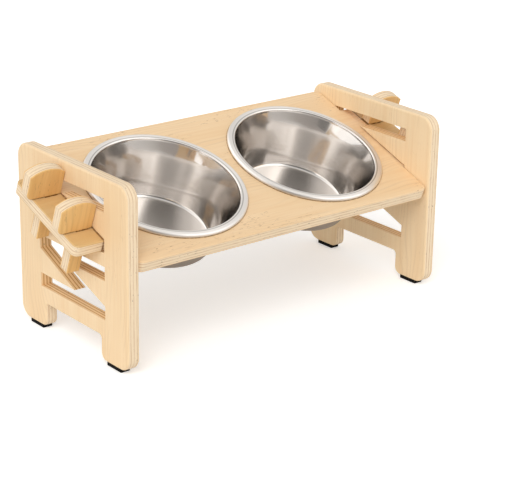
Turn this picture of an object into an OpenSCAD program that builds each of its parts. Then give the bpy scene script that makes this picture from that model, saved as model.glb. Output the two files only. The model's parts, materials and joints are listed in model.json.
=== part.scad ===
// Elevated pet bowl stand, a knock-down design in plywood.
// Two slotted side panels carry a board by the tongues at its ends.
// Keys pushed down through the tongues lock the board between the panels.
// Two pressed steel bowls hang in the board by their rolled rims.
// X is to the right, Y to the back and Z up, in millimetres.
// The origin is on the floor, midway between the panels and between front and back.

/* [Side panels] */
// Distance between the outer faces of the two side panels
span = 313; // [300:1:400]
// Depth of a side panel from front to back
panel_d = 148; // [144:1:180]
// Height of a side panel's top edge above the floor
panel_h = 148; // [145:1:200]
// Thickness of a side panel
panel_t = 10.5; // [8:0.5:14]
// Radius of a side panel's top corners
corner_r = 12; // [6:0.5:15]
// Width of a leg from front to back
leg_w = 36; // [30:1:42]
// Radius of a leg's outer bottom corner
leg_outer_r = 11; // [6:0.5:13]
// Radius of a leg's inner bottom corner
leg_inner_r = 6; // [2:0.5:7]
// Height of the arch between the legs above the floor
arch_z = 22.5; // [15:0.5:28]
// Radius in the upper corners of the arch
arch_r = 3; // [1:0.5:6]

/* [Slots in the side panels] */
// Length of a level slot from front to back
window_len = 88.5; // [84:0.5:100]
// Height of the lowest slot's floor above the floor
first_slot_z = 36.5; // [32:0.5:37.5]
// Rise from one level slot to the next one in the same window
level_pitch = 31.5; // [28:0.5:34]
// Rise from the lower window to the upper window
window_pitch = 53.5; // [51:0.5:56]
// Play above and below the board in a level slot
level_play = 0.5; // [0.3:0.1:1.2]
// How much steeper the rear ramp falls than the board above it, in degrees
ramp_relief = 3; // [1:0.5:6]
// Play between a seated piece and what it rests on
seat_gap = 0.3; // [0.2:0.05:0.5]

/* [Board] */
// Thickness of the board
board_t = 10; // [8:0.5:11]
// Depth of the board from front to back along its slope
board_d = 150; // [142:1:156]
// Radius of the board's corners
board_r = 6; // [2:0.5:12]
// Gap between the board's shoulder and the inner face of a panel
shoulder_gap = 0.2; // [0.1:0.05:0.5]
// How far a tongue stands out past the outer face of a panel
tongue_out = 24.5; // [22:0.5:30]
// Play at the front and at the back of a tongue in its slot
tongue_play = 1; // [0.6:0.1:1.6]
// Radius of a tongue's outer corners
tongue_r = 5; // [1:0.5:5.5]

/* [Bowls] */
// Distance between the centres of the two bowls
bowl_spacing = 142; // [138:1:148]
// Diameter of a bowl over its rim
rim_d = 132; // [126:1:136]
// Width of the rolled rim
rim_w = 6.5; // [5:0.5:9]
// Height of the rolled rim above the board
rim_h = 2.5; // [2.5:0.1:4.5]
// Radius on the inner edge of the rim
rim_inner_r = 1.1; // [1:0.1:2]
// Radius on the outer edge of the rim
rim_outer_r = 1.8; // [1.4:0.1:2.4]
// Depth of a bowl below the top of the board
bowl_depth = 46; // [35:1:55]
// Diameter of a bowl where its side meets its bottom corner
base_d = 95; // [80:1:104]
// Outer radius of a bowl's bottom corner
base_r = 4; // [4:0.5:10]
// Thickness of a bowl's sheet steel
sheet_t = 0.8; // [0.5:0.1:1.2]
// Radial play between a bowl and its hole in the board
hole_play = 1.5; // [1:0.25:3]

/* [Keys] */
// Thickness of a key
key_t = 10; // [8:0.5:12]
// Width of a key's head
head_w = 30; // [27:0.5:34]
// Height of a key's head above the board
head_h = 25.5; // [20:0.5:32]
// Radius of the crown on a key's head
crown_r = 25; // [20:0.5:40]
// Radius of the heel where the head overhangs the tongue
heel_r = 5; // [2:0.5:6]
// Width of a key's tail
tail_w = 11; // [8:0.5:12]
// Length of a key's tail below the top of the tongue
tail_len = 40; // [30:1:48]
// Distance of a key's tail from the outer face of a panel
tail_inset = 3; // [2:0.5:5]
// Distance between the front and the rear key of a tongue
key_pitch = 44; // [38:1:50]
// Play around a key's tail in its mortise
mortise_play = 0.3; // [0.2:0.05:0.6]

/* [Feet] */
// Thickness of a rubber foot
foot_t = 3; // [2:0.5:5]
// How far a foot is set in from the two faces of its panel
foot_side_inset = 0.9; // [0.5:0.1:2]
// How far a foot is set in from the two ends of the flat under its leg
foot_end_inset = 0.2; // [0:0.1:3]
// Corner radius of a rubber foot
foot_r = 1; // [0.5:0.25:2]

/* [Hidden] */
$fn = 96;
LEFT = -1;
RIGHT = 1;
FRONT = -1;
REAR = 1;
ply = [0.93, 0.82, 0.66];
steel = [0.74, 0.73, 0.72];
rubber = [0.07, 0.07, 0.07];

// Side panels and their slots
slot_h = board_t + 2 * level_play;
leg_inner_y = panel_d / 2 - leg_w;
upper_window_z = first_slot_z + window_pitch;
leg_flat = leg_w - leg_outer_r - leg_inner_r;
foot_mid_y = leg_inner_y + leg_inner_r + leg_flat / 2;
foot_size = [panel_t - 2 * foot_side_inset, leg_flat - 2 * foot_end_inset];

// The board's slope. Its tongues lean on the floor of the upper window at the front
// and on the crest of the rear ramp at the back, so each pass closes in on the angle
// at which the lower edge of a tongue touches both.
seat_run = window_len - seat_gap;
function settle(passes) = passes == 0
    ? atan(level_pitch / seat_run)
    : atan(level_pitch / (seat_run - board_t * sin(settle(passes - 1))));
tilt = settle(8);
toe_y = window_len / 2 - seat_gap - board_t * sin(tilt);
board_z = upper_window_z + seat_gap + toe_y * tan(tilt) + board_t / cos(tilt);
tongue_w = window_len - 2 * tongue_play;
board_mid = tongue_w / 2 - (window_len / 2 - seat_gap) / cos(tilt);
shoulder_x = span / 2 - panel_t - shoulder_gap;

// Tips of the two ramps in a window
ramp_rise = level_pitch - slot_h;
rear_tip_y = window_len / 2 - ramp_rise / tan(tilt + ramp_relief);
front_tip_y = ramp_rise / tan(tilt) - window_len / 2;

// Bowls
throat_r = rim_d / 2 - rim_w;
hole_r = throat_r + sheet_t + hole_play;
rim_z = seat_gap + rim_h;
corner_x = base_d / 2 - base_r;
corner_z = base_r - bowl_depth;
// The side of the bowl runs straight from the rim to the bottom corner, leaning by flare
side_rise = rim_z - rim_inner_r - corner_z;
side_run = throat_r + sheet_t - corner_x;
flare = atan(side_run / side_rise) - asin(base_r / norm([side_run, side_rise]));

// A plate with rounded corners, centred on the origin
module rounded_plate(size, r) {
    square([size[0] - 2 * r, size[1]], center = true);
    square([size[0], size[1] - 2 * r], center = true);
    for (sx = [-1, 1], sy = [-1, 1])
        translate([sx * (size[0] / 2 - r), sy * (size[1] / 2 - r)])
            circle(r);
}

// The sliver that rounds an outside corner at the origin, off towards +X and +Y
module corner_sliver(r) {
    difference() {
        square(r);
        translate([r, r]) circle(r);
    }
}

// Two level slots joined by a sloping one, with the lower slot's floor at zero height
module window_cut() {
    half = window_len / 2;
    polygon([
        [-half, 0], [half, 0], [half, slot_h],
        [rear_tip_y, slot_h],
        [half, level_pitch], [half, level_pitch + slot_h],
        [-half, level_pitch + slot_h], [-half, level_pitch],
        [front_tip_y, level_pitch],
        [-half, slot_h]
    ]);
}

// The space between the legs, from under the feet up to the crossbar
module arch_cut() {
    translate([0, foot_t])
        rounded_plate([2 * leg_inner_y, 2 * (arch_z - foot_t)], arch_r);
    for (sy = [FRONT, REAR])
        translate([sy * leg_inner_y, foot_t])
            scale([sy, 1])
                corner_sliver(leg_inner_r);
}

// Outline of a side panel, drawn with Y across and Z up. Two plates lap over each other,
// one with the radius of the top corners and one with that of the legs
module panel_outline() {
    plate_h = panel_h - foot_t;
    lap = [panel_d, 0.8 * plate_h];
    difference() {
        union() {
            translate([0, panel_h - lap[1] / 2])
                rounded_plate(lap, corner_r);
            translate([0, foot_t + lap[1] / 2])
                rounded_plate(lap, leg_outer_r);
        }
        arch_cut();
        for (z = [first_slot_z, upper_window_z])
            translate([0, z]) window_cut();
    }
}

module side_panel(side) {
    color(ply)
        translate([side == LEFT ? -span / 2 : span / 2 - panel_t, 0, 0])
            rotate([90, 0, 90])
                linear_extrude(panel_t)
                    panel_outline();
}

// Rubber pad under the flat part of a leg
module foot(side, row) {
    color(rubber)
        translate([side * (span / 2 - panel_t / 2), row * foot_mid_y, 0])
            linear_extrude(foot_t)
                rounded_plate(foot_size, foot_r);
}

// Everything on the board is drawn with its top at zero height and its middle
// at the origin, then laid on the slope
module on_board() {
    translate([0, 0, board_z])
        rotate([tilt, 0, 0])
            translate([0, board_mid, 0])
                children();
}

// Hole in a tongue for a key's tail
module mortise_cut(side, row) {
    translate([side * (span / 2 + tail_inset + tail_w / 2), row * key_pitch / 2])
        square([tail_w + 2 * mortise_play, key_t + 2 * mortise_play], center = true);
}

module shelf_board() {
    color(ply)
        on_board()
            translate([0, 0, -board_t])
                linear_extrude(board_t)
                    difference() {
                        union() {
                            rounded_plate([2 * shoulder_x, board_d], board_r);
                            rounded_plate([span + 2 * tongue_out, tongue_w], tongue_r);
                        }
                        for (side = [LEFT, RIGHT]) {
                            translate([side * bowl_spacing / 2, 0])
                                circle(hole_r);
                            for (row = [FRONT, REAR])
                                mortise_cut(side, row);
                        }
                    }
}

// Section through the rolled rim, open below. An inset draws its hollow inside
module rim_section(inset) {
    intersection() {
        translate([throat_r, seat_gap])
            square([rim_w, rim_h]);
        union() {
            translate([throat_r + inset, seat_gap])
                square([rim_w - 2 * inset, rim_h - rim_outer_r]);
            translate([throat_r + inset, seat_gap])
                square([rim_w / 2, rim_h - rim_inner_r]);
            translate([throat_r + rim_inner_r, seat_gap])
                square([rim_w - rim_inner_r - rim_outer_r, rim_h - inset]);
            translate([throat_r + rim_inner_r, rim_z - rim_inner_r])
                circle(rim_inner_r - inset);
            translate([rim_d / 2 - rim_outer_r, rim_z - rim_outer_r])
                circle(rim_outer_r - inset);
        }
    }
}

// Half section through a bowl's floor, bottom corner and side
module bowl_section() {
    across = [cos(flare), -sin(flare)];
    low_out = [corner_x, corner_z] + base_r * across;
    low_in = [corner_x, corner_z] + (base_r - sheet_t) * across;
    top_out = [throat_r + sheet_t, rim_z - rim_inner_r];
    top_in = [throat_r, rim_z - rim_inner_r];
    translate([0, -bowl_depth])
        square([corner_x, sheet_t]);
    intersection() {
        translate([corner_x, corner_z])
            difference() {
                circle(base_r);
                circle(base_r - sheet_t);
            }
        polygon([
            [corner_x, corner_z],
            [corner_x, corner_z - 2 * base_r],
            [corner_x + 2 * base_r, corner_z - 2 * base_r],
            [corner_x, corner_z] + 2 * base_r * across
        ]);
    }
    polygon([low_in, low_out, top_out, top_in]);
}

module bowl(side) {
    color(steel)
        on_board()
            translate([side * bowl_spacing / 2, 0, 0])
                rotate_extrude() {
                    difference() {
                        rim_section(0);
                        rim_section(sheet_t);
                        // Room for the hollow of the rim to stay open below
                        translate([throat_r + sheet_t, 0])
                            square([rim_w - 2 * sheet_t, 2 * seat_gap]);
                    }
                    bowl_section();
                }
}

// Flat shape of a key: a crowned head that overhangs the tongue, and its tail.
// Its inner edge is at zero and the top of the tongue is at zero height
module key_outline() {
    crown_drop = crown_r - sqrt(pow(crown_r, 2) - pow(head_w / 2, 2));
    intersection() {
        translate([0, seat_gap])
            square([head_w, head_h]);
        translate([head_w / 2, seat_gap + head_h - crown_r])
            circle(crown_r);
        union() {
            translate([0, seat_gap])
                square([head_w - heel_r, head_h]);
            translate([0, seat_gap + heel_r])
                square([head_w, head_h]);
            translate([head_w - heel_r, seat_gap + heel_r])
                circle(heel_r);
        }
    }
    translate([tail_inset - seat_gap, -tail_len])
        square([tail_w, tail_len + head_h - crown_drop]);
}

module key(side, row) {
    color(ply)
        on_board()
            translate([0, row * key_pitch / 2 + key_t / 2, 0])
                scale([side, 1, 1])
                    translate([span / 2 + seat_gap, 0, 0])
                        rotate([90, 0, 0])
                            linear_extrude(key_t)
                                key_outline();
}

side_panel(LEFT);  // left_side_panel
side_panel(RIGHT);  // right_side_panel
shelf_board();
bowl(LEFT);  // left_bowl
bowl(RIGHT);  // right_bowl
key(LEFT, FRONT);  // left_front_key
key(LEFT, REAR);  // left_rear_key
key(RIGHT, FRONT);  // right_front_key
key(RIGHT, REAR);  // right_rear_key
foot(LEFT, FRONT);  // left_front_foot
foot(LEFT, REAR);  // left_rear_foot
foot(RIGHT, FRONT);  // right_front_foot
foot(RIGHT, REAR);  // right_rear_foot
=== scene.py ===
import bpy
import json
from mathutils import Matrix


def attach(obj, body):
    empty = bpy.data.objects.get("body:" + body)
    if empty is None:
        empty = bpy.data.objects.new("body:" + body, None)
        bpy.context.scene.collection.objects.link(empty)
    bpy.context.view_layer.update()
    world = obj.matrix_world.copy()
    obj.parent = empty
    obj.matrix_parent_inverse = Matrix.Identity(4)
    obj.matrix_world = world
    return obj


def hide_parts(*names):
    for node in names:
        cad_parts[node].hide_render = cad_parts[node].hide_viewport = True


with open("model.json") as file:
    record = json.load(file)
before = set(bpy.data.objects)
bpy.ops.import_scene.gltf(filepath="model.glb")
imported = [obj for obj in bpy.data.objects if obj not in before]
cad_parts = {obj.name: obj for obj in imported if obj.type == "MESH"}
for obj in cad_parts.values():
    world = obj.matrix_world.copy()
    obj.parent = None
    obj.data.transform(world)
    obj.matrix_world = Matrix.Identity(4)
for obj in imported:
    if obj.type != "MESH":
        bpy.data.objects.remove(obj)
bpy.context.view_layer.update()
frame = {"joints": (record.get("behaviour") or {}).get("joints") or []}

import json
import math

import bmesh
import bpy
from mathutils import Matrix, Vector
from mathutils.geometry import tessellate_polygon


# Side panels
# Two plywood sides on two legs each, cut from one sheet with a router. The outline
# is rounded over along both faces, and the slots are only broken at their edges.
MM = 0.001
SPAN = 313.0
PANEL_T = 10.5
PANEL_D = 148.0
PANEL_H = 148.0
PANEL_X = (SPAN - PANEL_T) / 2
PANEL_R = 12
FOOT_T = 3.0
LEG_INNER_Y = 38.0
LEG_INNER_R = 6
LEG_OUTER_R = 11
ARCH_Z = 22.5
ARCH_R = 3
WINDOW_FLOORS = (36.5, 90.0)
WINDOW_HALF = 44.25
SLOT_H = 11.0
LEVEL_PITCH = 31.5
REAR_TIP_Y = -3.1
FRONT_TIP_Y = 10.9
PANEL_EASE = 1.7
SLOT_EASE = 0.35
SHEET_CREASE = math.radians(34)


def outline(corners, steps=10):
    """Points of a closed shape from corners (across, up, radius), in order round it."""
    points = []
    for i, (x, y, radius) in enumerate(corners):
        here = Vector((x, y))
        if radius == 0:
            points.append(here)
            continue
        before = (Vector(corners[i - 1][:2]) - here).normalized()
        after = (Vector(corners[(i + 1) % len(corners)][:2]) - here).normalized()
        half_angle = before.angle(after) / 2
        reach = radius / math.tan(half_angle)
        centre = here + (before + after).normalized() * (radius / math.sin(half_angle))
        start, end = here + before * reach - centre, here + after * reach - centre
        turn = start.angle_signed(end)
        count = max(3, round(steps * abs(turn) / (math.pi / 2)))
        for k in range(count + 1):
            points.append(centre + Matrix.Rotation(-turn * k / count, 2) @ start)
    return points


def drawn_in(points, inset):
    """The same loop moved sideways into the material, which lies to its left."""
    moved = []
    for i, here in enumerate(points):
        back, on = here - points[i - 1], points[(i + 1) % len(points)] - here
        first = Vector((-back.y, back.x)).normalized()
        second = Vector((-on.y, on.x)).normalized()
        moved.append(here + (first + second) * (inset / (1 + first.dot(second))))
    return moved


def in_scene(name, data):
    """A new object in the scene that shows the data given."""
    made = bpy.data.objects.new(name, data)
    bpy.context.scene.collection.objects.link(made)
    return made


def shaped(name, mesh):
    """A new object in the scene from a finished shape, which is used up."""
    data = bpy.data.meshes.new(name)
    mesh.to_mesh(data)
    mesh.free()
    return in_scene(name, data)


def sheet_piece(name, loops, eases, thickness, place, rounds=6):
    """A piece cut from sheet: the first loop is its outline, the others are its openings.
    Each loop has its own rounding where it meets the two faces."""
    mesh = bmesh.new()
    half = thickness / 2
    caps = {1: [], -1: []}
    for loop, ease in zip(loops, eases):
        layers = [(-half + ease * (1 - math.sin(a)), ease * (1 - math.cos(a)))
                  for a in [math.pi / 2 * (1 - k / rounds) for k in range(rounds + 1)]]
        layers += [(-depth, inset) for depth, inset in reversed(layers)]
        rings = []
        for depth, inset in layers:
            rings.append([mesh.verts.new((p.x * MM, p.y * MM, depth * MM))
                          for p in drawn_in(loop, inset)])
        for low, high in zip(rings, rings[1:]):
            for i in range(len(loop)):
                j = (i + 1) % len(loop)
                mesh.faces.new((low[i], low[j], high[j], high[i]))
        caps[-1].append(rings[0])
        caps[1].append(rings[-1])
    for side, rings in caps.items():
        verts = [v for ring in rings for v in ring]
        for corners in tessellate_polygon([[v.co for v in ring] for ring in rings]):
            face = mesh.faces.new([verts[k] for k in corners])
            face.normal_update()
            if face.normal.z * side < 0:
                face.normal_flip()
    piece = shaped(name, mesh)
    piece.data.shade_smooth()
    piece.data.set_sharp_from_angle(angle=SHEET_CREASE)
    piece.matrix_world = place
    flat = piece.modifiers.new("even faces", "WEIGHTED_NORMAL")
    flat.keep_sharp = True
    return piece


def frame_of(across, up, origin):
    """Where a piece stands: its own x and y in the object's frame, and its middle in mm."""
    across, up = Vector(across), Vector(up)
    return Matrix.Translation(Vector(origin) * MM) @ Matrix(
        (across, up, across.cross(up))).transposed().to_4x4()


def put(tree, kind, sockets=None, **settings):
    """Adds a shader node, sets it, and links or fills its sockets."""
    made = tree.nodes.new(kind)
    for key, value in settings.items():
        setattr(made, key, value)
    for key, value in (sockets or {}).items():
        if isinstance(value, bpy.types.NodeSocket):
            tree.links.new(value, made.inputs[key])
        else:
            made.inputs[key].default_value = value
    return made


def maths(tree, operation, *values):
    return put(tree, "ShaderNodeMath", dict(enumerate(values)), operation=operation).outputs[0]


def gap(tree, value, other):
    """How far one value is from another, either way."""
    return maths(tree, "ABSOLUTE", maths(tree, "SUBTRACT", value, other))


def between(tree, value, low, high, bottom=0.0, top=1.0):
    """A soft step from bottom to top as the value goes from low to high."""
    return put(tree, "ShaderNodeMapRange", {0: value, 1: low, 2: high, 3: bottom, 4: top},
               interpolation_type="SMOOTHSTEP").outputs[0]


def vector_maths(tree, operation, *values):
    return put(tree, "ShaderNodeVectorMath", dict(enumerate(values)), operation=operation).outputs


def split(tree, vector):
    return put(tree, "ShaderNodeSeparateXYZ", {0: vector}).outputs


def joined(tree, x, y, z=0.0):
    return put(tree, "ShaderNodeCombineXYZ", {"X": x, "Y": y, "Z": z}).outputs[0]


def tinted(tree, share, first, second, mode="MIX"):
    return put(tree, "ShaderNodeMix", {0: share, 6: first, 7: second},
               data_type="RGBA", blend_type=mode).outputs[2]


def noise(tree, place, stretch, detail=2.0, rough=0.5, warp=0.0):
    """Noise drawn out by a different amount along each axis, from 0 to 1."""
    return put(tree, "ShaderNodeTexNoise",
               {"Vector": vector_maths(tree, "MULTIPLY", place, stretch)[0], "Scale": 1.0,
                "Detail": detail, "Roughness": rough, "Distortion": warp}).outputs[0]


def new_group(name, takes, gives):
    """An empty node group with its sockets, and its inner input and output sockets."""
    tree = bpy.data.node_groups.new(name, "ShaderNodeTree")
    for label, kind, value in takes:
        socket = tree.interface.new_socket(label, in_out="INPUT", socket_type=kind)
        if value is not None:
            socket.default_value = value
    for label, kind in gives:
        tree.interface.new_socket(label, in_out="OUTPUT", socket_type=kind)
    return tree, tree.nodes.new("NodeGroupInput").outputs, tree.nodes.new("NodeGroupOutput").inputs


def new_finish(name):
    """A new material, its node tree, its shader, and the place on the piece in metres."""
    made = bpy.data.materials.new(name)
    made.use_nodes = True
    tree = made.node_tree
    own = put(tree, "ShaderNodeTexCoord").outputs["Object"]
    return made, tree, tree.nodes["Principled BSDF"], own


FLOAT, COLOR, VECTOR = "NodeSocketFloat", "NodeSocketColor", "NodeSocketVector"

# Face grain of a pale softwood veneer, whose x runs along the grain, in millimetres.
# The rings are a sharpened wave across the grain that wanders and comes in patches
RING_TURN = 0.75
RING_WANDER = 34.0
RING_SHARPNESS = 9.0
RING_DARK, RING_SUNK = 0.42, 0.3
PORE_DARK = 0.55
grain, takes, gives = new_group(
    "veneer grain",
    [("Place", VECTOR, None), ("Pale", COLOR, (0.90, 0.67, 0.43, 1)),
     ("Warm", COLOR, (0.84, 0.57, 0.33, 1)), ("Pore", COLOR, (0.36, 0.19, 0.08, 1)),
     ("Rings", FLOAT, 0.5), ("Pores", FLOAT, 1.0)],
    [("Color", COLOR), ("Height", FLOAT)])
place = takes["Place"]
broad = noise(grain, place, (0.006, 0.055, 0.055), detail=2.0, rough=0.5, warp=0.4)
streak = noise(grain, place, (0.010, 0.42, 0.42), detail=3.0, rough=0.6)
fibre = noise(grain, place, (0.07, 2.1, 2.1), detail=2.0, rough=0.6)
bend = noise(grain, place, (0.0075, 0.022, 0.02), detail=2.0, rough=0.45)
phase = maths(grain, "ADD", maths(grain, "MULTIPLY", split(grain, place)["Y"], RING_TURN),
              maths(grain, "MULTIPLY", bend, RING_WANDER))
wave = maths(grain, "ABSOLUTE", maths(grain, "SINE", phase))
patch = between(grain, noise(grain, place, (0.011, 0.05, 0.05), detail=1.0), 0.42, 0.66)
ring = maths(grain, "MULTIPLY", maths(grain, "POWER", wave, RING_SHARPNESS), patch)
ring = maths(grain, "MULTIPLY", ring, takes["Rings"])
pore = between(grain, noise(grain, place, (0.19, 1.9, 1.9), detail=1.0), 0.665, 0.73)
cluster = between(grain, noise(grain, place, (0.022, 0.06, 0.06), detail=1.0), 0.5, 0.62)
pore = maths(grain, "MULTIPLY", maths(grain, "MULTIPLY", pore, cluster), takes["Pores"])
tone = maths(grain, "ADD", between(grain, broad, 0.3, 0.7, 0.0, 0.5),
             between(grain, streak, 0.32, 0.7, 0.0, 0.5))
tone = maths(grain, "ADD", tone, maths(grain, "MULTIPLY_ADD", fibre, 0.5, -0.25))
face = tinted(grain, tone, takes["Pale"], takes["Warm"])
face = tinted(grain, maths(grain, "MULTIPLY", ring, RING_DARK), face, takes["Pore"])
face = tinted(grain, maths(grain, "MULTIPLY", pore, PORE_DARK), face, takes["Pore"])
sunk = maths(grain, "MULTIPLY_ADD", ring, RING_SUNK, pore)
grain.links.new(face, gives["Color"])
grain.links.new(maths(grain, "SUBTRACT", fibre, sunk), gives["Height"])

# Sawn edge of the plywood: three brown cross plies between pale ones, uneven in depth,
# and small dark pits. Depth is measured through the sheet from its middle, in mm
PLY_WANDER = 0.7
BROWN_PLY = (0.12, 0.75)
LAST_PLY = (1.45, 1.5)
CUT_BLUR = 0.15
# Painted shade: darker, more orange plies for cuts that lie in shade
SHADED_CUT_PALE = (0.96, 0.63, 0.27, 1)
SHADED_CUT_BROWN = (0.56, 0.26, 0.045, 1)
PIT_BROWN = (0.12, 0.06, 0.03, 1)
plies, takes, gives = new_group(
    "sawn plies",
    [("Place", VECTOR, None), ("Depth", FLOAT, 0.0), ("Spacing", FLOAT, 2.8),
     ("Core", FLOAT, 4.0), ("Cut Shade", FLOAT, 0.0), ("Pale", COLOR, (0.92, 0.755, 0.54, 1)),
     ("Brown", COLOR, (0.46, 0.21, 0.055, 1))],
    [("Color", COLOR), ("Edge", FLOAT), ("Height", FLOAT)])
place = takes["Place"]
wander = noise(plies, place, (0.05, 0.05, 0.05), detail=2.0)
depth = maths(plies, "ADD", takes["Depth"],
              maths(plies, "MULTIPLY_ADD", wander, PLY_WANDER, -PLY_WANDER / 2))
step = maths(plies, "DIVIDE", depth, takes["Spacing"])
off = maths(plies, "MULTIPLY", gap(plies, step, maths(plies, "ROUND", step)), takes["Spacing"])
inside = between(plies, maths(plies, "ABSOLUTE", step), *LAST_PLY, 1.0, 0.0)
band = maths(plies, "MULTIPLY", between(plies, off, *BROWN_PLY, 1.0, 0.0), inside)
patchy = noise(plies, place, (0.06, 0.06, 0.45), detail=3.0, rough=0.6)
# Painted shade: the masked cuts get their brown plies at nearly full strength
uneven = maths(plies, "MAXIMUM", between(plies, patchy, 0.34, 0.70, 0.16, 0.55),
               maths(plies, "MULTIPLY", takes["Cut Shade"], 0.92))
sawn = noise(plies, place, (0.5, 0.5, 1.6), detail=3.0, rough=0.6)
pit = between(plies, noise(plies, place, (0.33, 0.33, 1.3), detail=1.0), 0.735, 0.77)
wood = tinted(plies, maths(plies, "MULTIPLY", band, uneven), takes["Pale"], takes["Brown"])
wood = tinted(plies, between(plies, sawn, 0.3, 0.75, 0.0, 0.10), wood, takes["Brown"])
# Painted shade: the masked cuts turn darker and more orange
shaded_cut = tinted(plies, maths(plies, "MULTIPLY", band, 0.8), SHADED_CUT_PALE, SHADED_CUT_BROWN)
wood = tinted(plies, maths(plies, "MULTIPLY", takes["Cut Shade"], 0.55), wood, shaded_cut)
wood = tinted(plies, maths(plies, "MULTIPLY", pit, 0.8), wood, PIT_BROWN)
past_core = maths(plies, "SUBTRACT", maths(plies, "ABSOLUTE", takes["Depth"]), takes["Core"])
sunk = maths(plies, "MAXIMUM", maths(plies, "MULTIPLY", band, 0.5), pit)
plies.links.new(wood, gives["Color"])
plies.links.new(between(plies, past_core, -CUT_BLUR, CUT_BLUR, 1.0, 0.0), gives["Edge"])
plies.links.new(maths(plies, "SUBTRACT", maths(plies, "MULTIPLY", sawn, 0.6), sunk),
                gives["Height"])

# Painted contact shadow: a dark line where a piece bears on its neighbour, broken here
# and there along its run. The mask is 1 where the line is
contact_shadow, takes, gives = new_group(
    "painted contact shadow",
    [("Place", VECTOR, None), ("Mask", FLOAT, 0.0), ("Wood", COLOR, (0.9, 0.7, 0.45, 1)),
     ("Line", COLOR, (0.24, 0.10, 0.02, 1))],
    [("Color", COLOR)])
broken = between(contact_shadow, noise(contact_shadow, takes["Place"], (0.35, 0.35, 0.35), detail=3.0, rough=0.6),
                 0.28, 0.55, 0.25, 1.0)
contact_shadow.links.new(tinted(contact_shadow, maths(contact_shadow, "MULTIPLY", takes["Mask"], broken),
                         takes["Wood"], takes["Line"]), gives["Color"])

FACE_VENEER = 1.1
PLY_SHARE = 0.27
FACE_ROUGHNESS, CUT_ROUGHNESS = 0.46, 0.62
# Painted shade: the tone that darkens and warms the tongues beside the keys
TONGUE_SHADE = (0.80, 0.75, 0.58, 1)


def plywood(name, grain_axis, shift, thickness, pale, warm, rings, pores, cut_shade=None,
            recess_shade=None, shadow_mask=None):
    """Clear-coated plywood: veneer on the faces and sawn plies on every edge.
    grain_axis is the piece's own axis that the grain follows, and shift picks the part
    of the tree that it was cut from. The last three make masks from the piece's own
    coordinates in mm: cuts whose plies are painted darker as shade, faces painted
    darker and warmer as shade, and a dark line painted as shadow where the piece bears
    on its neighbour."""
    material, tree, shader, own = new_finish(name)
    parts = split(tree, vector_maths(tree, "MULTIPLY", own, (1 / MM, 1 / MM, 1 / MM))[0])
    along, sideways = (parts["X"], parts["Y"]) if grain_axis == "x" else (parts["Y"], parts["X"])
    moved = vector_maths(tree, "ADD", joined(tree, along, sideways, parts["Z"]), shift)[0]
    veneer = put(tree, "ShaderNodeGroup", {
        "Place": moved, "Pale": (*pale, 1), "Warm": (*warm, 1), "Rings": rings,
        "Pores": pores}, node_tree=grain).outputs
    cut = put(tree, "ShaderNodeGroup", {
        "Place": moved, "Depth": parts["Z"], "Spacing": thickness * PLY_SHARE,
        "Core": thickness / 2 - FACE_VENEER,
        "Cut Shade": cut_shade(tree, parts) if cut_shade else 0.0}, node_tree=plies).outputs
    color = veneer["Color"]
    # Painted shade: a darker, warmer tone over the masked faces
    if recess_shade:
        color = tinted(tree, recess_shade(tree, parts), color, TONGUE_SHADE, "MULTIPLY")
    color = tinted(tree, cut["Edge"], color, cut["Color"])
    # Painted shadow: a dark line where the piece bears on its neighbour
    if shadow_mask:
        color = put(tree, "ShaderNodeGroup", {
            "Place": moved, "Mask": shadow_mask(tree, parts), "Wood": color},
            node_tree=contact_shadow).outputs["Color"]
    tree.links.new(color, shader.inputs["Base Color"])
    tree.links.new(maths(tree, "MULTIPLY_ADD", cut["Edge"], CUT_ROUGHNESS - FACE_ROUGHNESS,
                         FACE_ROUGHNESS), shader.inputs["Roughness"])
    height = put(tree, "ShaderNodeMix", {0: cut["Edge"], 2: veneer["Height"],
                                         3: cut["Height"]}).outputs[0]
    bump = put(tree, "ShaderNodeBump", {"Strength": 0.35, "Distance": 0.00012, "Height": height})
    tree.links.new(bump.outputs[0], shader.inputs["Normal"])
    shader.inputs["Specular IOR Level"].default_value = 0.35
    return material


window = [(-WINDOW_HALF, 0), (WINDOW_HALF, 0), (WINDOW_HALF, SLOT_H), (REAR_TIP_Y, SLOT_H),
          (WINDOW_HALF, LEVEL_PITCH), (WINDOW_HALF, LEVEL_PITCH + SLOT_H),
          (-WINDOW_HALF, LEVEL_PITCH + SLOT_H), (-WINDOW_HALF, LEVEL_PITCH),
          (FRONT_TIP_Y, LEVEL_PITCH), (-WINDOW_HALF, SLOT_H)]
panel_loops = [outline([
    (-PANEL_D / 2, FOOT_T, LEG_OUTER_R), (-LEG_INNER_Y, FOOT_T, LEG_INNER_R),
    (-LEG_INNER_Y, ARCH_Z, ARCH_R), (LEG_INNER_Y, ARCH_Z, ARCH_R),
    (LEG_INNER_Y, FOOT_T, LEG_INNER_R), (PANEL_D / 2, FOOT_T, LEG_OUTER_R),
    (PANEL_D / 2, PANEL_H, PANEL_R), (-PANEL_D / 2, PANEL_H, PANEL_R)])]
for floor_z in WINDOW_FLOORS:
    panel_loops.append(outline([(y, z + floor_z, 0) for y, z in reversed(window)]))

CUTS_SIDE = (45.5, 46.5)
CUTS_MID_Z = 85.0
CUTS_REACH = (52.0, 56.0)
PANEL_PALE, PANEL_WARM = (0.92, 0.715, 0.465), (0.87, 0.635, 0.38)
PANEL_SHIFTS = {"left": (310, 40, 7), "right": (-870, 520, 60)}


def in_windows(tree, parts):
    """1 on the cuts of the two windows, which are painted darker as shade, 0 on the panel's
    outline.
    """
    sideways = between(tree, maths(tree, "ABSOLUTE", parts["X"]), *CUTS_SIDE, 1.0, 0.0)
    upright = between(tree, gap(tree, parts["Y"], CUTS_MID_Z), *CUTS_REACH, 1.0, 0.0)
    return maths(tree, "MULTIPLY", sideways, upright)


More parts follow.
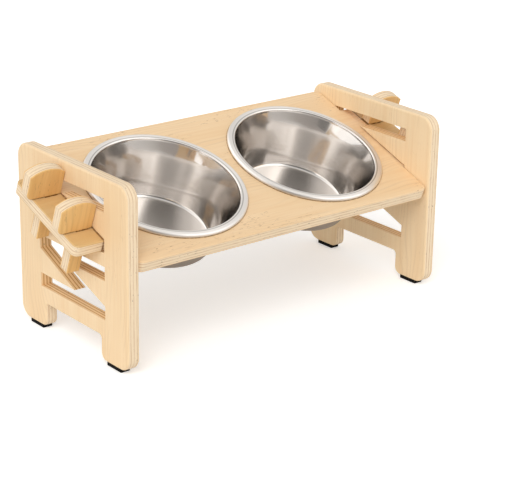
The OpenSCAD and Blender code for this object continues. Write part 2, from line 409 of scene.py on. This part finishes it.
for side, name in ((-1, "left"), (1, "right")):
    panel = sheet_piece(name + "_panel_ply", panel_loops, (PANEL_EASE, SLOT_EASE, SLOT_EASE),
                        PANEL_T, frame_of((0, 1, 0), (0, 0, 1), (side * PANEL_X, 0, 0)))
    panel.data.materials.append(plywood(
        name + "_panel_plywood", "y", PANEL_SHIFTS[name], PANEL_T, PANEL_PALE, PANEL_WARM,
        rings=0.3, pores=0.5, cut_shade=in_windows))
    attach(panel, "stand")
    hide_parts(name + "_side_panel")


# Feet
# Four black rubber pads, cut from sheet and glued under the flats of the legs. Each is
# a little smaller than its flat, with rounded corners.
FOOT_SIDE_INSET = 0.9
FOOT_END_INSET = 0.2
FOOT_R = 1
FOOT_EASE = 0.35
leg_flat = PANEL_D / 2 - LEG_INNER_Y - LEG_INNER_R - LEG_OUTER_R
foot_y = LEG_INNER_Y + LEG_INNER_R + leg_flat / 2
RUBBER_BLACK, RUBBER_DUSTY = (0.004, 0.0035, 0.003, 1), (0.015, 0.013, 0.011, 1)

rubber, tree, shader, own = new_finish("black_rubber_pad")
speckle = noise(tree, own, (1500, 1500, 1500), detail=3.0, rough=0.6)
dust = noise(tree, own, (260, 260, 260), detail=3.0, rough=0.55)
tree.links.new(tinted(tree, between(tree, dust, 0.45, 0.8, 0.0, 0.5), RUBBER_BLACK, RUBBER_DUSTY),
               shader.inputs["Base Color"])
tree.links.new(between(tree, dust, 0.3, 0.7, 0.62, 0.8), shader.inputs["Roughness"])
bump = put(tree, "ShaderNodeBump", {"Strength": 0.4, "Distance": 0.0001, "Height": speckle})
tree.links.new(bump.outputs[0], shader.inputs["Normal"])
shader.inputs["Specular IOR Level"].default_value = 0.12

half_x = PANEL_T / 2 - FOOT_SIDE_INSET
half_y = leg_flat / 2 - FOOT_END_INSET
foot_loop = outline([(-half_x, -half_y, FOOT_R), (half_x, -half_y, FOOT_R),
                     (half_x, half_y, FOOT_R), (-half_x, half_y, FOOT_R)], steps=6)
for side, side_name in ((-1, "left"), (1, "right")):
    for row, row_name in ((-1, "front"), (1, "rear")):
        name = side_name + "_" + row_name
        pad = sheet_piece(name + "_pad", [foot_loop], (FOOT_EASE,), FOOT_T, frame_of(
            (1, 0, 0), (0, 1, 0), (side * PANEL_X, row * foot_y, FOOT_T / 2)), rounds=4)
        pad.data.materials.append(rubber)
        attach(pad, "stand")
        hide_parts(name + "_foot")


# Board
# The shelf board, one sheet of plywood with two round holes. Its two tongues pass
# through the side panels and are mortised for the keys. Each leans on the floor of its
# window and on the crest of the rear ramp, so the board slopes down to the front.
SEAT = 0.3
BOARD_T = 10.0
BOARD_D = 150.0
BOARD_R = 6
BOARD_EASE = 0.8
BOARD_PALE, BOARD_WARM = (0.91, 0.68, 0.43), (0.86, 0.60, 0.34)
BOARD_SHIFT = (120, -260, 33)
SHOULDER_PLAY = 0.2
TONGUE_OUT = 24.5
TONGUE_HALF = 43.25
TONGUE_R = 5
BOWL_X = 71.0
HOLE_R = 61.8
HOLE_STEPS = 96
HOLE_EASE = 0.6
KEY_T = 10.0
KEY_Y = 22.0
TAIL_W = 11.0
TAIL_INSET = 3.0
MORTISE_EASE = 0.2

lift = Vector(frame["joints"][0]["axis"]).normalized()
slope = Vector((0, lift.z, -lift.y))
seat_reach = WINDOW_HALF - SEAT
toe_y = seat_reach - BOARD_T * slope.z
board_z = WINDOW_FLOORS[1] + SEAT + (toe_y * slope.z + BOARD_T) / slope.y
board_origin = Vector((0, 0, board_z)) + slope * (TONGUE_HALF - seat_reach / slope.y)


def on_board(x, along, height):
    """A point on the board in the object's frame, with height above its top face."""
    return Vector((x, 0, 0)) + board_origin + slope * along + lift * height


half_depth = BOARD_D / 2
shoulder_x = SPAN / 2 - PANEL_T - SHOULDER_PLAY
tongue_x = SPAN / 2 + TONGUE_OUT
mortise_x = SPAN / 2 + TAIL_INSET + TAIL_W / 2
half_x, half_y = TAIL_W / 2 + SEAT, KEY_T / 2 + SEAT
right_end = [(shoulder_x, -half_depth, BOARD_R), (shoulder_x, -TONGUE_HALF, 0),
             (tongue_x, -TONGUE_HALF, TONGUE_R), (tongue_x, TONGUE_HALF, TONGUE_R),
             (shoulder_x, TONGUE_HALF, 0), (shoulder_x, half_depth, BOARD_R)]
left_end = [(-x, -y, radius) for x, y, radius in right_end]
board_loops = [outline(left_end[-1:] + right_end + left_end[:-1])]
board_eases = [BOARD_EASE]
for side in (-1, 1):
    board_loops.append([Vector((side * BOWL_X, 0)) + HOLE_R * Vector((math.cos(a), -math.sin(a)))
                        for a in [math.tau * k / HOLE_STEPS for k in range(HOLE_STEPS)]])
    board_eases.append(HOLE_EASE)
    for row in (-1, 1):
        x, y = side * mortise_x, row * KEY_Y
        board_loops.append(outline([(x - half_x, y - half_y, 0), (x - half_x, y + half_y, 0),
                                    (x + half_x, y + half_y, 0), (x + half_x, y - half_y, 0)]))
        board_eases.append(MORTISE_EASE)

# Painted contact shadow on the board: a line at the face of each panel and a ring round each bowl's
# rim
PANEL_SHADOW_X = SPAN / 2 - 0.3
PANEL_SHADOW = (0.4, 0.95)
RIM_SHADOW_R = 65.7
RIM_SHADOW = (0.5, 1.1)


def on_tongues(tree, parts):
    """1 on the parts of the tongues that stand outside the panels, which are painted darker as
    shade.
    """
    return between(tree, maths(tree, "ABSOLUTE", parts["X"]), SPAN / 2 - 1, SPAN / 2)


def shadow_at_neighbours(tree, parts):
    """1 on the thin lines of painted contact shadow where a tongue comes out of its panel, and
    round each bowl's rim.
    """
    out = maths(tree, "ABSOLUTE", parts["X"])
    from_bowl = joined(tree, maths(tree, "SUBTRACT", out, BOWL_X), parts["Y"])
    reach = vector_maths(tree, "LENGTH", from_bowl)["Value"]
    return maths(tree, "MAXIMUM",
                 between(tree, gap(tree, out, PANEL_SHADOW_X), *PANEL_SHADOW, 0.85, 0.0),
                 between(tree, gap(tree, reach, RIM_SHADOW_R), *RIM_SHADOW, 0.65, 0.0))


board = sheet_piece("shelf_board_ply", board_loops, board_eases, BOARD_T,
                    frame_of((1, 0, 0), slope, on_board(0, 0, -BOARD_T / 2)))
board.data.materials.append(plywood(
    "board_plywood_coated", "x", BOARD_SHIFT, BOARD_T, BOARD_PALE, BOARD_WARM,
    rings=0.32, pores=1.8, recess_shade=on_tongues, shadow_mask=shadow_at_neighbours))
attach(board, "stand")
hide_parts("shelf_board")


# Keys
# Four plywood keys with crowned heads, pushed down through the tongues. Each head
# bears on the outer face of a panel, and its tail shows below the tongue.
HEAD_W = 30.0
HEAD_H = 25.5
HEEL_R = 5
CROWN_R = 25.0
CROWN_STEPS = 24
TAIL_END = -40.0
TAIL_R = 0.4
KEY_EASE = 0.6
# Width of the painted contact shadow at the foot of each head
BEARING_SHADOW = (0.45, 0.9)
KEY_PALE, KEY_WARM = (0.86, 0.56, 0.235), (0.78, 0.47, 0.175)
key_x = SPAN / 2 + SEAT
tail_in = TAIL_INSET - SEAT
tail_out = tail_in + TAIL_W
crown_z = SEAT + HEAD_H - CROWN_R
half_turn = math.asin(HEAD_W / 2 / CROWN_R)

crown = []
for k in range(CROWN_STEPS + 1):
    turn = half_turn * (1 - 2 * k / CROWN_STEPS)
    crown.append((HEAD_W / 2 + CROWN_R * math.sin(turn), crown_z + CROWN_R * math.cos(turn), 0))
key_points = outline([
    (tail_in, TAIL_END, TAIL_R), (tail_out, TAIL_END, TAIL_R), (tail_out, SEAT, 0),
    (HEAD_W, SEAT, HEEL_R), *crown, (0, SEAT, 0), (tail_in, SEAT, 0)])


def shadow_at_tongue(tree, parts):
    """1 on the lowest part of the head, where it bears on the tongue and a contact shadow is
    painted.
    """
    return between(tree, gap(tree, parts["Y"], SEAT), *BEARING_SHADOW, 1.0, 0.0)


for side, side_name in ((-1, "left"), (1, "right")):
    for row, row_name in ((-1, "front"), (1, "rear")):
        name = side_name + "_" + row_name + "_key"
        loop = [Vector((side * p.x, p.y)) for p in key_points]
        if side < 0:
            loop.reverse()
        key = sheet_piece(name + "_ply", [loop], (KEY_EASE,), KEY_T, frame_of(
            (1, 0, 0), lift, on_board(side * key_x, row * KEY_Y, 0)))
        key.data.materials.append(plywood(
            name + "_plywood", "y", (side * 210 + row * 45, row * 170, side * 90), KEY_T,
            KEY_PALE, KEY_WARM, rings=0.45, pores=1.3, shadow_mask=shadow_at_tongue))
        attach(key, name)
        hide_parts(name)


# Bowls
# Two bowls pressed and spun from stainless steel sheet, hung in the board by a rolled
# rim. The wall bends a little below the rim. The inside is polished to a satin, the
# rim is brushed round and given a lighter colour as painted sheen, and the outside is
# duller, with a darker, browner colour as painted shade.
SHEET = 0.8
RIM_R = 66.0
THROAT_R = 59.5
RIM_H = 2.5
RIM_IN_R = 1.1
RIM_OUT_R = 1.8
LIP_R = 0.5
LIP_BREAK = 0.2
BOWL_DEPTH = 46.0
CORNER_X = 43.5
CORNER_R = 3.2
WALL_LEAN = 14.2
KINK_R, KINK_Z = 54.9, -10.0
KINK_REACH = 5.0
KINK_STEPS = 12
TURNS = 144
BOWL_CREASE = math.radians(50)


def arc(centre, radius, start, end, steps):
    """Points on an arc of the bowl's section, by angles in degrees from outwards."""
    turns = [math.radians(start + (end - start) * k / steps) for k in range(steps + 1)]
    return [(centre[0] + radius * math.cos(a), centre[1] + radius * math.sin(a)) for a in turns]


def run(first, last, steps):
    """Points on the straight line between two others, without the two."""
    return [(first[0] + (last[0] - first[0]) * k / steps,
             first[1] + (last[1] - first[1]) * k / steps) for k in range(1, steps)]


def offset(points, distance):
    """An open line of points moved sideways, away from the bowl's axis."""
    moved = []
    for i, (r, z) in enumerate(points):
        before, after = points[max(i - 1, 0)], points[min(i + 1, len(points) - 1)]
        along = Vector((after[0] - before[0], after[1] - before[1])).normalized()
        moved.append((r + along.y * distance, z - along.x * distance))
    return moved


rim_top = SEAT + RIM_H
floor_z = SHEET - BOWL_DEPTH
rim_in = (THROAT_R + RIM_IN_R, rim_top - RIM_IN_R)
rim_out = (RIM_R - RIM_OUT_R, rim_top - RIM_OUT_R)
throat = (THROAT_R, rim_in[1])
fillet = arc((CORNER_X, floor_z + CORNER_R), CORNER_R, -90, -WALL_LEAN, 8)
kink = Vector((KINK_R, KINK_Z))
below = kink + (Vector(fillet[-1]) - kink).normalized() * KINK_REACH
above = kink + (Vector(throat) - kink).normalized() * KINK_REACH
bend = [tuple(below * (1 - t) ** 2 + kink * 2 * t * (1 - t) + above * t ** 2)
        for t in [k / KINK_STEPS for k in range(KINK_STEPS + 1)]]
wall = fillet + run(fillet[-1], bend[0], 10) + bend + run(bend[-1], throat, 6)
inside = run((0, floor_z), fillet[0], 12) + wall
inside += arc(rim_in, RIM_IN_R, 180, 90, 6)
inside += run(inside[-1], (rim_out[0], rim_top), 4)
inside += arc(rim_out, RIM_OUT_R, 90, 0, 8)
inside += arc((RIM_R - LIP_R, SEAT + LIP_R), LIP_R, 0, -90, 4)
outside = [(RIM_R - SHEET - LIP_BREAK / 2, SEAT + LIP_BREAK / 4), (RIM_R - SHEET, SEAT + LIP_BREAK)]
outside += arc(rim_out, RIM_OUT_R - SHEET, 0, 90, 5)
outside += arc(rim_in, RIM_IN_R - SHEET, 90, 180, 4)
outside += list(reversed(offset(wall, SHEET)))
outside += run(outside[-1], (0, floor_z - SHEET), 10)

RIM_STARTS = (THROAT_R + 0.2, THROAT_R + 1.0)
# The dark line on the rim is painted shade, and the lighter rim colour is painted sheen
SHADE_LINE_R = THROAT_R + 1.9
SHADE_LINE_WIDTH = (0.2, 0.7)
RIM_SHEEN_STEEL, SHADE_LINE_STEEL = (0.81, 0.78, 0.75, 1), (0.22, 0.20, 0.18, 1)
RIM_BRUSHING = 0.24
TURNED_LINES = 3300
POLISH_ON_RIM = 0.25

# Fine lines turned round the bowl's axis, with the flat of the rim brushed coarser,
# given a lighter colour as painted sheen, and painted with a dark line as shade.
# Place is the bowl's own, in metres, with its z along the axis
turned, takes, gives = new_group(
    "turned lines",
    [("Place", VECTOR, None), ("Dark", COLOR, (0.58, 0.55, 0.52, 1)),
     ("Light", COLOR, (0.66, 0.62, 0.59, 1)), ("Smooth", FLOAT, 0.16), ("Worn", FLOAT, 0.21),
     ("Drawn", FLOAT, 0.03)],
    [("Color", COLOR), ("Roughness", FLOAT), ("Height", FLOAT), ("Rim", FLOAT)])
parts = split(turned, takes["Place"])
radius = vector_maths(turned, "LENGTH", joined(turned, parts["X"], parts["Y"]))["Value"]
lines = noise(turned, joined(turned, radius, parts["Z"]), (TURNED_LINES, TURNED_LINES, 0),
              detail=3.0, rough=0.7)
wear = noise(turned, takes["Place"], (30, 30, 30), detail=3.0, rough=0.55)
rim = between(turned, radius, RIM_STARTS[0] * MM, RIM_STARTS[1] * MM)
toned = tinted(turned, between(turned, lines, 0.3, 0.7), takes["Dark"], takes["Light"])
# Painted sheen: the rim gets a lighter steel colour
toned = tinted(turned, rim, toned, RIM_SHEEN_STEEL)
# Painted shade: a dark line on the flat of the rim
shade_line = between(turned, gap(turned, radius, SHADE_LINE_R * MM), SHADE_LINE_WIDTH[0] * MM,
                 SHADE_LINE_WIDTH[1] * MM, 0.6, 0.0)
rough = maths(turned, "ADD", between(turned, wear, 0.3, 0.7, takes["Smooth"], takes["Worn"]),
              between(turned, lines, 0.35, 0.75, 0.0, takes["Drawn"]))
turned.links.new(tinted(turned, shade_line, toned, SHADE_LINE_STEEL), gives["Color"])
turned.links.new(maths(turned, "MULTIPLY_ADD", rim, RIM_BRUSHING, rough), gives["Roughness"])
turned.links.new(lines, gives["Height"])
turned.links.new(rim, gives["Rim"])


def spun_steel(name, dark, light, gloss, drawn, polish):
    """Stainless steel with turned lines. gloss gives its roughness from smooth to worn,
    drawn is what the lines add to it, and polish is the share of a sharper shine."""
    steel, tree, shader, own = new_finish(name)
    spun = put(tree, "ShaderNodeGroup", {
        "Place": own, "Dark": (*dark, 1), "Light": (*light, 1), "Smooth": gloss[0],
        "Worn": gloss[1], "Drawn": drawn}, node_tree=turned).outputs
    tree.links.new(spun["Color"], shader.inputs["Base Color"])
    tree.links.new(spun["Roughness"], shader.inputs["Roughness"])
    if polish > 0:
        shine = maths(tree, "MULTIPLY_ADD", spun["Rim"], (POLISH_ON_RIM - 1) * polish, polish)
        tree.links.new(shine, shader.inputs["Coat Weight"])
    round_way = put(tree, "ShaderNodeTangent", direction_type="RADIAL", axis="Z")
    tree.links.new(round_way.outputs[0], shader.inputs["Tangent"])
    bump = put(tree, "ShaderNodeBump", {
        "Strength": 0.12, "Distance": 0.00004, "Height": spun["Height"]})
    tree.links.new(bump.outputs[0], shader.inputs["Normal"])
    shader.inputs["Metallic"].default_value = 1.0
    shader.inputs["Coat Roughness"].default_value = 0.06
    shader.inputs["Coat IOR"].default_value = 3.0
    shader.inputs["Coat Tint"].default_value = (0.97, 0.95, 0.93, 1)
    shader.inputs["Anisotropic"].default_value = 0.7
    shader.inputs["Anisotropic Rotation"].default_value = 0.25
    return steel


polished = spun_steel(
    "satin_stainless_steel", dark=(0.585, 0.55, 0.515), light=(0.655, 0.62, 0.59),
    gloss=(0.16, 0.21), drawn=0.03, polish=1.0)
# Outside: rougher, with a darker, browner colour as painted shade
unpolished_and_shaded = spun_steel(
    "unpolished_shaded_stainless_steel", dark=(0.36, 0.305, 0.255), light=(0.42, 0.365, 0.315),
    gloss=(0.34, 0.44), drawn=0.06, polish=0.0)

for side, side_name in ((-1, "left"), (1, "right")):
    mesh = bmesh.new()
    rings = [[mesh.verts.new((r * math.cos(a) * MM, r * math.sin(a) * MM, z * MM))
              for a in [math.tau * k / TURNS for k in range(TURNS)]]
             for r, z in inside + outside]
    for k, (low, high) in enumerate(zip(rings, rings[1:])):
        for i in range(TURNS):
            j = (i + 1) % TURNS
            face = mesh.faces.new((low[i], low[j], high[j], high[i]))
            face.material_index = int(k >= len(inside))
    for ring, z, order, finish in ((rings[0], floor_z, 1, 0),
                                   (rings[-1], floor_z - SHEET, -1, 1)):
        middle = mesh.verts.new((0, 0, z * MM))
        for i in range(TURNS):
            face = mesh.faces.new((middle, ring[i], ring[(i + 1) % TURNS])[::order])
            face.material_index = finish
    name = side_name + "_bowl"
    bowl = shaped(name + "_steel", mesh)
    bowl.data.shade_smooth()
    bowl.data.set_sharp_from_angle(angle=BOWL_CREASE)
    bowl.matrix_world = frame_of((1, 0, 0), slope, on_board(side * BOWL_X, 0, 0))
    bowl.data.materials.append(polished)
    bowl.data.materials.append(unpolished_and_shaded)
    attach(bowl, name)
    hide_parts(name)


# Camera
# A long lens from the left front, with no shift, at the photograph's angle. Its place
# and its focal length in pixels were fitted to the edges of the stand.
PHOTO_W = 509
FOCAL_PX = 1727.0
SENSOR_W = 36.0
EYE = (-0.8216, -1.0333, 0.5392)
AZIMUTH, ELEVATION, ROLL = math.radians(39.227), math.radians(20.203), math.radians(0.955)

camera_data = bpy.data.cameras.new("camera")
camera_data.sensor_width = SENSOR_W
camera_data.lens = FOCAL_PX * SENSOR_W / PHOTO_W
camera_data.clip_end = 50
camera = in_scene("camera", camera_data)
bpy.context.scene.camera = camera
ahead = Vector((math.sin(AZIMUTH) * math.cos(ELEVATION),
                math.cos(AZIMUTH) * math.cos(ELEVATION), -math.sin(ELEVATION)))
level = Vector((math.cos(AZIMUTH), -math.sin(AZIMUTH), 0))
right = math.cos(ROLL) * level + math.sin(ROLL) * level.cross(ahead)
camera.matrix_world = Matrix.Translation(EYE) @ Matrix(
    (right, right.cross(ahead), -ahead)).transposed().to_4x4()


# Studio
# A pale paper floor that keeps a faint shadow, a wide sun from the left front, and
# paper screens round the bowls that show only in reflections. Where the steel sees it,
# the paper is painted darker away from the middle as shade.
FLOOR_HALF = 12
PAPER_LOW, PAPER_HIGH = (0.90, 0.90, 0.90, 1), (0.92, 0.92, 0.92, 1)
# Painted shade: the colour the steel sees on the paper away from the middle
FAR_PAPER_SHADE = (0.45, 0.42, 0.40, 1)
FAR_FROM, FAR_TO = 0.35, 0.8
FLOOR_GLOW = 0.36

floor_mesh = bmesh.new()
bmesh.ops.create_grid(floor_mesh, x_segments=4, y_segments=4, size=FLOOR_HALF)
studio_floor = shaped("studio_floor", floor_mesh)

paper, tree, shader, own = new_finish("studio_paper")
seen = put(tree, "ShaderNodeLightPath").outputs
# Painted shade: for reflections the paper turns darker away from the middle
far = between(tree, vector_maths(tree, "LENGTH", own)["Value"], FAR_FROM, FAR_TO)
dim = maths(tree, "MULTIPLY", seen["Is Glossy Ray"], far)
tooth = noise(tree, own, (900, 900, 900))
tree.links.new(tinted(tree, dim, tinted(tree, tooth, PAPER_LOW, PAPER_HIGH), FAR_PAPER_SHADE),
               shader.inputs["Base Color"])
tree.links.new(maths(tree, "MULTIPLY", seen["Is Camera Ray"], FLOOR_GLOW),
               shader.inputs["Emission Strength"])
shader.inputs["Emission Color"].default_value = (1, 1, 1, 1)
shader.inputs["Roughness"].default_value = 0.9
shader.inputs["Specular IOR Level"].default_value = 0.1
studio_floor.data.materials.append(paper)

# The screens stand in two rows. Each row is given as bearings in degrees, clockwise
# from the back, and its brightness there
SCREEN_MAX = 3.0
SCREEN_TINT = (1.0, 0.985, 0.965)
LOW_ROW = (
    (-180, 0.8), (-177, 0.7), (-174, 0.40), (-160, 0.22), (-150, 0.19), (-138, 0.19),
    (-130, 0.22), (-122, 0.20), (-112, 0.24), (-109, 1.7), (-99, 1.8), (-94, 1.55),
    (-84, 1.55), (-66, 1.6), (-45, 1.8), (-30, 1.7), (-14, 2.1), (-4, 1.65), (8, 1.0),
    (24, 0.80), (45, 0.70), (72, 0.74), (90, 1.05), (108, 0.82), (118, 1.0), (127, 1.8),
    (134, 1.9), (148, 1.45), (160, 0.95), (169, 0.60), (174, 0.70))
HIGH_ROW = (
    (-180, 1.5), (-174, 0.65), (-166, 0.28), (-148, 0.20), (-132, 0.30), (-120, 0.65),
    (-106, 0.95), (-84, 1.10), (-66, 1.35), (-45, 1.35), (-20, 1.55), (0, 1.85), (10, 1.4),
    (60, 1.3), (105, 1.65), (150, 1.75), (166, 2.2), (176, 2.5))
CEILING = (0.80, 0.79, 0.77, 1)
LOW_ROW_ENDS, HIGH_ROW_STARTS = math.radians(51), math.radians(46)
HIGH_ROW_ENDS, CEILING_STARTS = math.radians(21), math.radians(15)
ROOM_LOW, ROOM_HIGH = (1.03, 1.01, 0.97, 1), (0.48, 0.47, 0.46, 1)
ROOM_DIMS = (0.30, 0.75)
SUN_WAY = (0.78, 0.62, -1.0)

world = bpy.data.worlds.new("studio_room")
bpy.context.scene.world = world
world.use_nodes = True
tree = world.node_tree
seen = put(tree, "ShaderNodeLightPath").outputs
way = put(tree, "ShaderNodeTexCoord").outputs["Generated"]
sides = split(tree, way)
bearing = put(tree, "ShaderNodeMapRange", {
    0: maths(tree, "ARCTAN2", sides["X"], sides["Y"]), 1: -math.pi, 2: math.pi}).outputs[0]


def screens(row):
    """The light of one row of screens round the compass, as a share of SCREEN_MAX."""
    ramp = put(tree, "ShaderNodeValToRGB", {0: bearing})
    stops = ramp.color_ramp.elements
    for k, (degrees, level) in enumerate(row):
        share = (degrees + 180) / 360
        stop = stops[0] if k == 0 else stops.new(share)
        stop.position = share
        stop.color = (*(level / SCREEN_MAX * tint for tint in SCREEN_TINT), 1)
    stops[len(row)].color = stops[0].color
    return ramp.outputs["Color"]


overhead = vector_maths(tree, "DOT_PRODUCT", way, lift)["Value"]
rows = tinted(tree, between(tree, overhead, math.cos(LOW_ROW_ENDS), math.cos(HIGH_ROW_STARTS)),
              screens(LOW_ROW), screens(HIGH_ROW))
walls = tinted(tree, 1.0, rows, (SCREEN_MAX, SCREEN_MAX, SCREEN_MAX, 1), "MULTIPLY")
walls = tinted(tree, between(tree, overhead, math.cos(HIGH_ROW_ENDS), math.cos(CEILING_STARTS)),
               walls, CEILING)
plain = tinted(tree, between(tree, sides["Z"], *ROOM_DIMS), ROOM_LOW, ROOM_HIGH)
lit = tinted(tree, seen["Is Glossy Ray"], plain, walls)
room = tree.nodes["Background"]
tree.links.new(tinted(tree, seen["Is Camera Ray"], lit, (1, 1, 1, 1)), room.inputs["Color"])
room.inputs["Strength"].default_value = 1.0

sun_data = bpy.data.lights.new("soft_sun", "SUN")
sun_data.energy = 1.22
sun_data.angle = math.radians(40)
sun = in_scene("soft_sun", sun_data)
sun.rotation_euler = Vector(SUN_WAY).to_track_quat("-Z", "Y").to_euler()
sun.visible_glossy = False

bpy.context.scene.view_settings.view_transform = "Standard"
